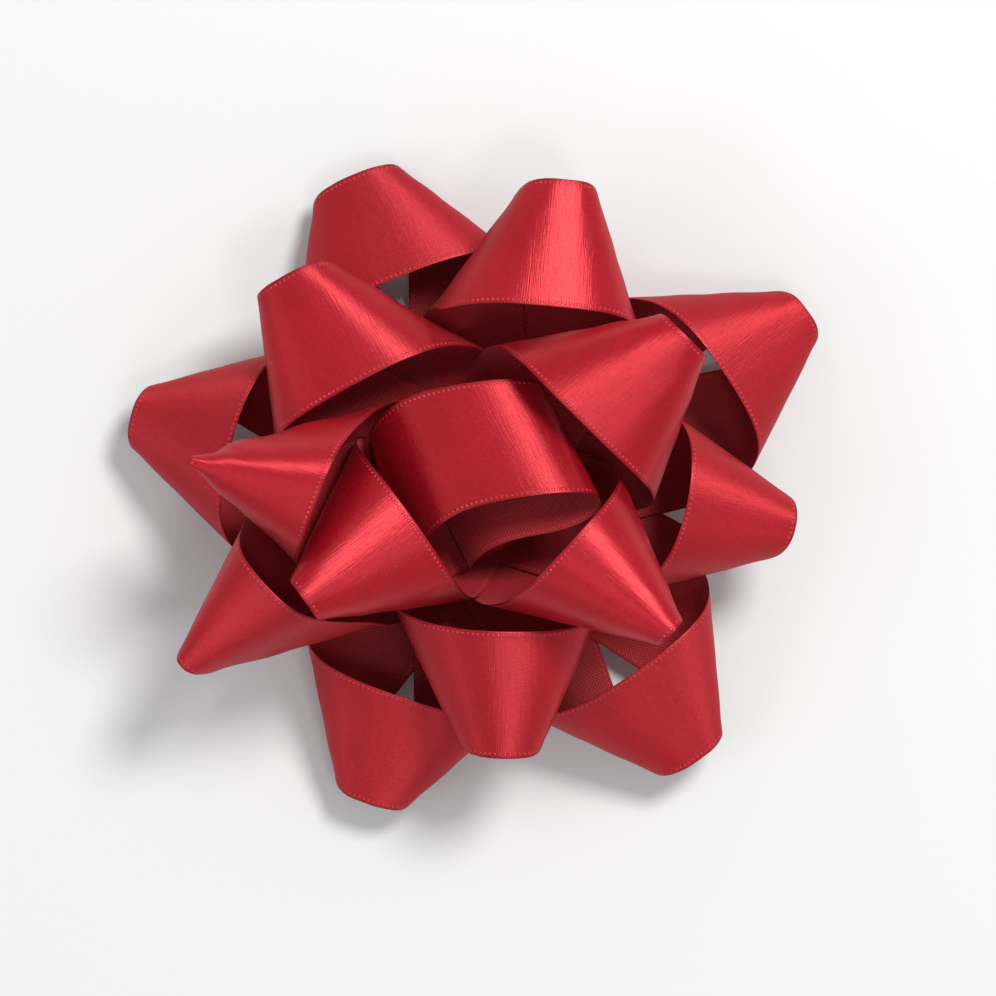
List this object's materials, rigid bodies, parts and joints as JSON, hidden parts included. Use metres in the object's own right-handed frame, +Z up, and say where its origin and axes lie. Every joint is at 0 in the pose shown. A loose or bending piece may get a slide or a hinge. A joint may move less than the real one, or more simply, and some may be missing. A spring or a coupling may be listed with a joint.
{
  "type": "gift bow",
  "caption": "Pre-made star bow of satin ribbon loops in tiers on a riveted card disc with a peel-off adhesive back.",
  "frame": {"origin": "on the rivet's axis at the underside of the release liner, the plane the bow rests on", "axes": "+Z up along the rivet, +X right and +Y away as seen from above"},
  "size_m": [0.1158, 0.1086, 0.0509],
  "materials": {
    "ribbon": "satin face, matte back",
    "card": "matte paperboard",
    "foam": "matte foam",
    "liner": "waxed paper",
    "nylon": "natural nylon"
  },
  "bodies": {
    "base": {"base_card": "card", "adhesive_pad": "foam", "rivet_post": "nylon", "rivet_cap": "nylon"},
    "lower_tier": {"lower_loop_1": "ribbon", "lower_loop_2": "ribbon", "lower_loop_3": "ribbon", "lower_loop_4": "ribbon", "lower_loop_5": "ribbon"},
    "middle_tier": {"middle_loop_1": "ribbon", "middle_loop_2": "ribbon", "middle_loop_3": "ribbon", "middle_loop_4": "ribbon", "middle_loop_5": "ribbon"},
    "upper_tier": {"upper_loop_1": "ribbon", "upper_loop_2": "ribbon", "upper_loop_3": "ribbon", "upper_loop_4": "ribbon"},
    "centre": {"centre_loop": "ribbon"},
    "liner": {"release_liner": "liner"}
  },
  "joints": [
    {"name": "lower_tier_turn", "type": "hinge", "parent": "base", "child": "lower_tier", "pos_m": [0, 0, 0.002], "axis": [0, 0, 1], "range_deg": [-90, 90]},
    {"name": "middle_tier_turn", "type": "hinge", "parent": "lower_tier", "child": "middle_tier", "pos_m": [0, 0, 0.002], "axis": [0, 0, 1], "range_deg": [-1, 1]},
    {"name": "upper_tier_turn", "type": "hinge", "parent": "middle_tier", "child": "upper_tier", "pos_m": [0, 0, 0.002], "axis": [0, 0, 1], "range_deg": [-1, 1]},
    {"name": "centre_turn", "type": "hinge", "parent": "upper_tier", "child": "centre", "pos_m": [0, 0, 0.002], "axis": [0, 0, 1], "range_deg": [-1, 1]},
    {"name": "liner_peel", "type": "slide", "parent": "base", "child": "liner", "axis": [0, 0, -1], "range_m": [0, 0.03]}
  ]
}
